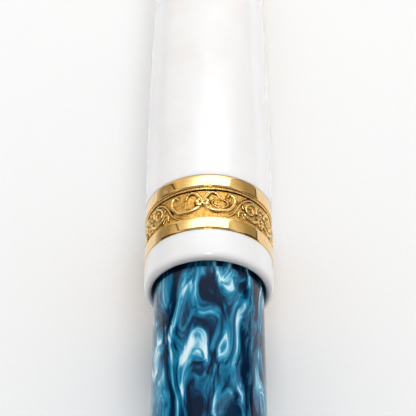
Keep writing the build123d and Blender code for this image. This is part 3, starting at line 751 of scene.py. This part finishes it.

# Cast and struck gold plate: punched in the ground and rubbed bright where high. The ground is
# painted darker than the strokes, darkest along their feet, partly as brown patina and partly as
# painted shade.
FRIEZE_DEPTH = 0.22
PUNCH_MM = 0.20  # spacing of the punch marks
MOTTLE_MM = 0.7  # size of the patches that are rubbed more or less
RUBBED_AND_SHADED_MM = (-0.02, 0.14)  # the metal is painted brighter between these heights over the ground: rubbed high points, and painted shade in the ground under them
MOTTLE_SHARE = 0.55  # how much the patches brighten it, and the patina with painted shade and the punch marks darken it
PATINA_AND_SHADE_SHARE = 0.50
PUNCH_SHARE = 0.22
frieze_r = rim_r - FRIEZE_DEPTH
struck_gold, tree, bsdf = new_material("struck_antique_gold", Metallic=1.0)
place = object_mm(tree)
axes = add_node(tree, "ShaderNodeSeparateXYZ", {"Vector": place})
across = add_node(
    tree, "ShaderNodeCombineXYZ", {"X": axes.outputs["X"], "Y": axes.outputs["Z"]}
)
radius = add_node(
    tree, "ShaderNodeVectorMath", {0: across.outputs["Vector"]}, operation="LENGTH"
)
height = add_node(
    tree, "ShaderNodeMapRange",
    {"Value": radius.outputs["Value"], "From Min": frieze_r + RUBBED_AND_SHADED_MM[0],
     "From Max": frieze_r + RUBBED_AND_SHADED_MM[1]},
)
punched = add_node(
    tree, "ShaderNodeTexVoronoi", {"Vector": place, "Scale": 1 / PUNCH_MM, "Randomness": 0.9}
)
mottling = add_node(
    tree, "ShaderNodeTexNoise", {"Vector": place, "Scale": 1 / MOTTLE_MM, "Detail": 3}
)
# Patina with painted shade: darkest at the strokes' feet, on the moulding and in the groove under it.
patina_and_shade = add_node(tree, "ShaderNodeAttribute", attribute_name="patina_and_shade")
# The tone: high parts lighter as rubbing, the ground darker as patina and painted shade, punch marks
# darker.
rubbed_and_shaded = add_node(
    tree, "ShaderNodeMath",
    {0: mottling.outputs["Fac"], 1: MOTTLE_SHARE, 2: height.outputs["Result"]},
    operation="MULTIPLY_ADD",
)
rubbed_and_shaded = add_node(
    tree, "ShaderNodeMath",
    {0: patina_and_shade.outputs["Fac"], 1: -PATINA_AND_SHADE_SHARE, 2: rubbed_and_shaded.outputs["Value"]},
    operation="MULTIPLY_ADD",
)
rubbed_and_shaded = add_node(
    tree, "ShaderNodeMath",
    {0: punched.outputs["Distance"], 1: -PUNCH_SHARE, 2: rubbed_and_shaded.outputs["Value"]},
    operation="MULTIPLY_ADD",
)
tone = add_node(
    tree, "ShaderNodeValToRGB", {"Fac": rubbed_and_shaded.outputs["Value"]},
    stops=[
        (0.00, "#3A2206"), (0.08, "#8A5C1C"), (0.18, "#D09A44"), (0.32, "#F0C16C"),
        (0.66, "#F6D088"), (1.00, "#FFDE9C"),
    ],
)
tree.links.new(tone.outputs["Color"], bsdf.inputs["Base Color"])
spread = add_node(
    tree, "ShaderNodeMapRange",
    {"Value": height.outputs["Result"], "To Min": 0.46, "To Max": 0.14},
)
tree.links.new(spread.outputs["Result"], bsdf.inputs["Roughness"])
punch_depth = add_node(
    tree, "ShaderNodeMapRange", {"Value": height.outputs["Result"], "To Min": 0.8, "To Max": 0.1}
)
bump = add_node(
    tree, "ShaderNodeBump",
    {"Height": punched.outputs["Distance"], "Strength": punch_depth.outputs["Result"],
     "Distance": 0.10 * MM},
)
tree.links.new(bump.outputs["Normal"], bsdf.inputs["Normal"])

# The ornament repeats three times, mirrored about its knots. Each stroke of a half is a list of
# (distance round the band from the knot, place along the pen, thickness) in mm.
REPEATS = 3
KNOT_TURN = -0.75  # the first knot stands this far round the band from the top
STROKES = {
    "arch": [
        (2.02, 8.60, 0.13), (1.97, 8.90, 0.08), (1.75, 9.25, 0.10), (1.27, 9.52, 0.14),
        (0.80, 9.38, 0.16), (0.42, 8.95, 0.17), (0.12, 8.35, 0.16), (0.02, 8.00, 0.10),
    ],
    "knot": [(0.0, 7.72, 0.20), (0.0, 8.02, 0.29), (0.0, 8.30, 0.18)],
    "bow": [(0.10, 7.72, 0.14), (0.40, 7.60, 0.18), (0.64, 7.95, 0.20), (0.60, 8.40, 0.18),
            (0.36, 8.62, 0.10)],
    "long_scroll": [
        (0.16, 7.72, 0.08), (0.45, 7.38, 0.14), (0.98, 6.97, 0.17), (1.85, 6.74, 0.18),
        (2.80, 6.90, 0.17), (3.55, 7.50, 0.16), (3.95, 8.40, 0.15), (3.85, 9.12, 0.14),
        (3.45, 9.43, 0.12), (3.05, 9.28, 0.10), (3.00, 8.90, 0.13),
    ],
    "rib": [
        (2.55, 5.86, 0.05), (3.50, 6.40, 0.08), (4.12, 7.35, 0.08), (4.50, 8.20, 0.08),
        (5.10, 9.02, 0.08), (5.85, 9.50, 0.08), (6.60, 9.60, 0.08), (7.30, 9.25, 0.07),
        (7.62, 8.80, 0.05),
    ],
    "spiral": [
        (7.10, 8.05, 0.08), (7.18, 8.70, 0.13), (6.85, 9.15, 0.11), (6.25, 9.22, 0.10),
        (5.68, 8.80, 0.10), (5.38, 8.10, 0.11), (5.62, 7.52, 0.12), (6.20, 7.46, 0.12),
        (6.60, 7.95, 0.12), (6.52, 8.55, 0.11), (6.08, 8.62, 0.09), (5.98, 8.28, 0.12),
    ],
    "diagonal": [
        (4.38, 6.45, 0.06), (4.34, 6.92, 0.13), (4.48, 7.30, 0.12), (4.82, 7.46, 0.10),
        (5.15, 7.22, 0.10), (5.55, 6.85, 0.14), (6.15, 6.62, 0.15), (6.85, 6.72, 0.13),
        (7.40, 7.15, 0.10), (7.62, 7.60, 0.06),
    ],
    "leaf": [(4.85, 7.05, 0.05), (5.05, 6.75, 0.10), (5.25, 6.42, 0.05)],
    "bud": [(5.16, 7.80, 0.04), (4.92, 8.05, 0.12), (4.98, 8.42, 0.04)],
    "upper_chevron": [(7.28, 9.10, 0.05), (7.62, 8.62, 0.10), (7.96, 9.35, 0.05)],
    "middle_chevron": [(7.20, 8.42, 0.05), (7.62, 7.98, 0.11), (7.96, 8.72, 0.05)],
    "lower_chevron": [(7.10, 7.72, 0.05), (7.55, 7.30, 0.11), (7.96, 8.05, 0.05)],
    "ring": [
        (7.96, 7.42, 0.07), (7.62, 7.22, 0.08), (7.56, 6.84, 0.08), (7.72, 6.50, 0.08),
        (7.96, 6.40, 0.07),
    ],
    "bead": [(7.90, 6.86, 0.12), (7.96, 6.88, 0.14)],
}
STROKE_WIDTH = 1.32  # all strokes are this much thicker than the list says
CHASING_MM = (0.35, 0.045)  # the struck strokes waver: length and size of the wavering
STROKE_SINK = 0.42  # share of a stroke's thickness that lies under the ground
CHASING_SEED = 7
noise.seed_set(CHASING_SEED)  # without a seed the strokes would waver differently on each run


def stroke_mesh(strokes):
    """One half of the ornament, flat: x round the band, y along the pen, z outwards, in mm."""
    curve = bpy.data.curves.new("strokes", "CURVE")
    curve.dimensions = "3D"
    curve.bevel_depth = STROKE_WIDTH
    curve.bevel_resolution = 2
    curve.resolution_u = 6
    curve.use_fill_caps = True
    for points in strokes.values():
        line = curve.splines.new("NURBS")
        line.points.add(len(points) - 1)
        line.order_u = min(3, len(points))
        line.use_endpoint_u = True
        for point, (round_mm, along_mm, thickness) in zip(line.points, points):
            point.co = (round_mm, along_mm, thickness * STROKE_WIDTH * (1 - 2 * STROKE_SINK), 1)
            point.radius = thickness
    carrier = bpy.data.objects.new("strokes", curve)
    bpy.context.scene.collection.objects.link(carrier)
    flat = bpy.data.meshes.new_from_object(carrier.evaluated_get(bpy.context.evaluated_depsgraph_get()))
    bpy.data.objects.remove(carrier)
    for vertex in flat.vertices:
        vertex.co += CHASING_MM[1] * noise.noise_vector(vertex.co / CHASING_MM[0])
    return flat


def on_band(round_mm, along_mm, out_mm, turn_mm):
    """A place on the band's ground, from distances round it, along it and out of it in mm."""
    angle = (round_mm + turn_mm) / frieze_r
    reach = (frieze_r + out_mm) * MM
    return Vector((reach * sin(angle), along_mm * MM, reach * cos(angle)))


bpy.context.view_layer.update()
flat = stroke_mesh(STROKES)
relief = bmesh.new()
pitch_mm = 2 * pi * frieze_r / REPEATS
for repeat in range(REPEATS):
    for side in (1, -1):
        half = bmesh.new()
        half.from_mesh(flat)
        for vertex in half.verts:
            x, y, z = vertex.co
            vertex.co = on_band(side * x, y, z, KNOT_TURN + repeat * pitch_mm)
        copy = bpy.data.meshes.new("half")
        half.to_mesh(copy)
        half.free()
        relief.from_mesh(copy)
# A small oval frame stands in one half beside the knot; it is left bare.
OVAL = (2.10, 7.98, 1.02, 0.62)  # its middle round and along the band, and its half axes
oval_turns = [i * pi / 6 for i in range(13)]
flat = stroke_mesh({"oval": [
    (OVAL[0] + OVAL[2] * cos(turn), OVAL[1] + OVAL[3] * sin(turn), 0.06) for turn in oval_turns
]})
oval = bmesh.new()
oval.from_mesh(flat)
for vertex in oval.verts:
    vertex.co = on_band(*vertex.co, KNOT_TURN)
copy = bpy.data.meshes.new("oval")
oval.to_mesh(copy)
oval.free()
relief.from_mesh(copy)
bmesh.ops.recalc_face_normals(relief, faces=relief.faces)
relief = finish(relief, "frieze_scrollwork", "cap", struck_gold, sharp=60)

frieze_start, frieze_end, _ = box_mm("band_frieze")
MOULDING_MM = (9.93, 10.28)  # the moulding's lower and upper edge along the pen
MOULDING_RISE = 0.11
MOULDING_STEPS = 8
# painted shade on the moulding, as a share of the darkest
MOULDING_SHADE = 0.75
GROOVE_DEPTH = 0.07  # a groove runs along the moulding's lower edge
GROOVE_WIDTH = 0.2
# painted shade in the groove under the moulding
GROOVE_SHADE = 0.9
GROUND_ROWS = 36  # the ground is divided finely, so that the patina and painted shade can follow the strokes
GROUND_STEPS = 540
groove_start = MOULDING_MM[0] - GROOVE_WIDTH
moulding_arc = [
    (MOULDING_MM[0] + (MOULDING_MM[1] - MOULDING_MM[0]) * (1 - cos(i * pi / MOULDING_STEPS)) / 2,
     frieze_r + MOULDING_RISE * sin(i * pi / MOULDING_STEPS))
    for i in range(MOULDING_STEPS + 1)
]
ground_profile = (
    [(frieze_start, BAND_BORE_R)]
    + [(frieze_start + i * (groove_start - frieze_start) / GROUND_ROWS, frieze_r)
       for i in range(GROUND_ROWS + 1)]
    + [(MOULDING_MM[0] - GROOVE_WIDTH / 2, frieze_r - GROOVE_DEPTH)] + moulding_arc
    + [(frieze_end, frieze_r), (frieze_end, BAND_BORE_R)]
)
ground = finish(
    turned(ground_profile, steps=GROUND_STEPS), "frieze_ground", "cap", struck_gold,
    ["band_frieze"], sharp=50,
)

# A brown patina with painted shade lies thickest in the corner where a stroke rises from the ground.
PATINA_AND_SHADE_REACH_MM = 0.24
PATINA_AND_SHADE_PATCH_MM = 0.9  # the patina and painted shade come and go in patches of this size
strokes = kdtree.KDTree(len(relief.data.vertices))
for vertex in relief.data.vertices:
    strokes.insert(vertex.co, vertex.index)
strokes.balance()
patina_and_shade = ground.data.attributes.new("patina_and_shade", "FLOAT", "POINT")
for vertex, value in zip(ground.data.vertices, patina_and_shade.data):
    gap = strokes.find(vertex.co)[2] / MM
    patchy = 0.5 + 0.8 * noise.noise(vertex.co / (PATINA_AND_SHADE_PATCH_MM * MM))
    value.value = max(0, 1 - gap / PATINA_AND_SHADE_REACH_MM) * max(0, patchy)
    # The moulding is painted darker and the groove under it darker still: painted shade.
    if vertex.co.y > (MOULDING_MM[0] - GROOVE_WIDTH / 4) * MM:
        value.value = MOULDING_SHADE
    elif vertex.co.y > (MOULDING_MM[0] - 3 * GROOVE_WIDTH / 4) * MM:
        value.value = GROOVE_SHADE

# ---- clip, finial and their fastening --------------------------------------------------------
# The gilt clip hinges on a pin in the clip ring. A white finial is screwed on above the ring.
dress(polished_gold, "clip", "clip_ring")
dress(steel, "clip_pin")
dress(brass, "finial_screw")
finial_base, finial_top, finial_r = box_mm("cap_finial")
finish(
    turned(dome(finial_base, finial_top - finial_base, finial_r) + [(finial_base, 0)]),
    "turned_cap_finial", "cap", white_resin, ["cap_finial"],
)

# ---- studio ----------------------------------------------------------------------------------
# A pale table under one large softbox. Cards that only reflections see stand round the pen, as
# a studio sets them: a bright one overhead for the highlight and grey ones for the metal.
FLOOR_SIZE = 3.0
floor_z = cad_low.z
bpy.ops.mesh.primitive_grid_add(x_subdivisions=2, y_subdivisions=2, size=FLOOR_SIZE)
floor = bpy.context.object
floor.name = "studio_floor"
floor.location.z = floor_z
# Uncoated white paper: matt, with a faint unevenness of its fibres.
paper, tree, bsdf = new_material("matt_white_paper", Roughness=0.9)
fibres = add_node(
    tree, "ShaderNodeTexNoise", {"Vector": object_mm(tree), "Scale": 2.0, "Detail": 3}
)
tone = add_node(
    tree, "ShaderNodeValToRGB", {"Fac": fibres.outputs["Fac"]},
    stops=[(0.2, "#F2F2F2"), (0.8, "#F5F5F5")],
)
tree.links.new(tone.outputs["Color"], bsdf.inputs["Base Color"])
floor.data.materials.append(paper)

lamp = bpy.data.lights.new("overhead_softbox", "AREA")
lamp.shape = "RECTANGLE"
lamp.size, lamp.size_y = 0.36, 0.30
lamp.energy = 2.45
softbox = bpy.data.objects.new("overhead_softbox", lamp)
softbox.location = (0.08, 0.45, 0.62)
softbox.rotation_euler = softbox.location.to_track_quat("Z", "Y").to_euler()
softbox.visible_glossy = False
bpy.context.scene.collection.objects.link(softbox)


def card(name, place, size, turn, tones, strength=1.0, round_edge=False):
    """A card that only reflections see: its middle, size, turn in degrees and tones across."""
    sheet = bmesh.new()
    if round_edge:
        bmesh.ops.create_circle(sheet, cap_ends=True, radius=0.5, segments=96)
    else:
        bmesh.ops.create_grid(sheet, x_segments=1, y_segments=1, size=0.5)
    data = bpy.data.meshes.new(name)
    sheet.to_mesh(data)
    sheet.free()
    standing = bpy.data.objects.new(name, data)
    bpy.context.scene.collection.objects.link(standing)
    standing.scale = (*size, 1)
    standing.location = place
    standing.rotation_euler = [radians(degrees) for degrees in turn]
    material, tree, bsdf = new_material(name, Roughness=0.9)
    bsdf.inputs["Base Color"].default_value = linear("#000000")
    bsdf.inputs["Emission Strength"].default_value = strength
    width = add_node(
        tree, "ShaderNodeSeparateXYZ",
        {"Vector": add_node(tree, "ShaderNodeTexCoord").outputs["Object"]},
    )
    across_card = add_node(
        tree, "ShaderNodeMapRange",
        {"Value": width.outputs["X"], "From Min": -0.5, "From Max": 0.5},
    )
    tone = add_node(
        tree, "ShaderNodeValToRGB", {"Fac": across_card.outputs["Result"]}, stops=tones
    )
    tree.links.new(tone.outputs["Color"], bsdf.inputs["Emission Color"])
    data.materials.append(material)
    standing.visible_camera = False
    standing.visible_diffuse = False
    standing.visible_shadow = False


# A wall of cards stands this far behind the cap's mouth, round one bright disc. The bright ones
# grow lighter towards their top, as a background does under a lamp that hangs over it.
WALL_Y = 0.20
UPRIGHT = (90, 0, 0)
RISING = (90, -90, 0)  # upright, with its tones running up it
LEVEL = (0, 0, 0)
card(
    "back_wall", (0, WALL_Y, 0.37), (1.5, 0.76), UPRIGHT,
    [(0.30, "#181818"), (0.325, "#A0A0A0"), (0.67, "#A0A0A0"), (0.695, "#181818")],
)
card(
    "bright_disc", (0, WALL_Y - 0.010, 0), (0.544, 0.544), (90, -80, 0),
    [(0.733, "#89826C"), (0.767, "#8F8F86"), (0.798, "#9C9C9A"), (0.827, "#B0B0AF"),
     (0.853, "#D2D2D2"), (0.88, "#FFFFFF")], 3.4, round_edge=True,
)
card(
    "left_flag", (-0.2345, WALL_Y - 0.011, 0.19), (0.40, 0.071), RISING,
    [(0.02, "#A99E82"), (0.175, "#A69A7E"), (0.225, "#BCAF8F"), (0.26, "#CFBE9D"), (0.31, "#D8C8AB"),
     (0.35, "#DED3B6"), (0.40, "#EFE0C0"), (0.47, "#F9F6E7"), (0.60, "#B0B0AC"), (0.75, "#707070")],
)
card(
    "left_line", (-0.212, WALL_Y - 0.012, 0.10), (0.22, 0.007), RISING,
    [(0, "#463824"), (1, "#463824")],
)
card(
    "left_streak", (-0.2325, WALL_Y - 0.012, 0.022), (0.05, 0.004), RISING,
    [(0, "#D8CBA8"), (1, "#D8CBA8")],
)
card(
    "right_flag", (0.2045, WALL_Y - 0.011, 0.19), (0.40, 0.121), RISING,
    [(0.10, "#A2967A"), (0.19, "#A69A7C"), (0.27, "#B2A787"), (0.315, "#C4B999"), (0.37, "#D2C7A9"),
     (0.41, "#E0D4B6"), (0.445, "#EDE3C8"), (0.49, "#FAF7EA"), (0.62, "#B0B0AC"), (0.75, "#707070")],
)
card("left_table_card", (-0.344, 0.2875, floor_z + 0.0005), (0.6, 0.525), LEVEL,
     [(0.80, "#989384"), (0.94, "#A5A192"), (0.973, "#C4C0B2"), (1.0, "#D2CFC4")])
card("left_dark_card", (-0.344, -0.21, floor_z + 0.0005), (0.6, 0.47), LEVEL,
     [(0, "#202020"), (1, "#202020")])
card("right_table_card", (0.27, 0.1, floor_z + 0.0005), (0.3, 0.9), LEVEL,
     [(0, "#565450"), (1, "#666460")])
card("dark_room", (0, -0.45, 0.35), (2.0, 1.0), UPRIGHT, [(0, "#4A453C"), (1, "#4A453C")])
card("front_table_card", (0, -0.25, floor_z + 0.001), (0.8, 0.38), LEVEL,
     [(0, "#6E675C"), (1, "#6E675C")])
card("small_lamp", (-0.008, 0.045, 0.35), (0.08, 0.10), LEVEL, [(0, "#FFFFFF"), (1, "#FFFFFF")], 12.0)

world = bpy.data.worlds.new("studio")
bpy.context.scene.world = world
world.use_nodes = True
tree = world.node_tree
rays = add_node(tree, "ShaderNodeLightPath")
seen = add_node(
    tree, "ShaderNodeMath", {0: rays.outputs["Is Camera Ray"], 1: rays.outputs["Is Glossy Ray"]},
    operation="MAXIMUM",
)
seen = add_node(
    tree, "ShaderNodeMath", {0: seen.outputs[0], 1: rays.outputs["Is Transmission Ray"]},
    operation="MAXIMUM",
)
# The room's light on the pen grows from the side of the barrel's tail to the side of the cap's
# top. Seen directly, mirrored or through clear resin, the room is plain white.
FILL_FRONT = 0.16
FILL_BACK = 1.25
heading = add_node(
    tree, "ShaderNodeSeparateXYZ",
    {"Vector": add_node(tree, "ShaderNodeTexCoord").outputs["Generated"]},
)
fill = add_node(
    tree, "ShaderNodeMapRange",
    {"Value": heading.outputs["Y"], "From Min": -1.0, "From Max": 1.0,
     "To Min": FILL_FRONT, "To Max": FILL_BACK},
)
level = add_node(
    tree, "ShaderNodeMapRange",
    {"Value": seen.outputs[0], "To Min": fill.outputs["Result"], "To Max": 1.0},
)
tree.links.new(level.outputs["Result"], tree.nodes["Background"].inputs["Strength"])
tree.nodes["Background"].inputs["Color"].default_value = linear("#FFFFFF")

# ---- camera ----------------------------------------------------------------------------------
# The camera stands over the barrel and looks down along it at the cap's band. Its field of view is
# given by a focal length in pixels for a frame of 416 pixels.
VIEW_TILT = 52.57  # from the pen's axis
VIEW_DISTANCE = 186.2 * MM
VIEW_POINT = Vector((-0.1 * MM, 12.98 * MM, 0))
FOCAL_PIXELS = 1500
FRAME_PIXELS = 416
SENSOR_MM = 36
camera_data = bpy.data.cameras.new("studio_camera")
camera_data.sensor_width = SENSOR_MM
camera_data.lens = SENSOR_MM * FOCAL_PIXELS / FRAME_PIXELS
camera_data.clip_start = 0.01
camera = bpy.data.objects.new("studio_camera", camera_data)
tilt = radians(VIEW_TILT)
camera.location = VIEW_POINT + VIEW_DISTANCE * Vector((0, -cos(tilt), sin(tilt)))
camera.rotation_euler = (radians(90) - tilt, 0, 0)
bpy.context.scene.collection.objects.link(camera)
bpy.context.scene.camera = camera
bpy.context.scene.view_settings.view_transform = "Standard"
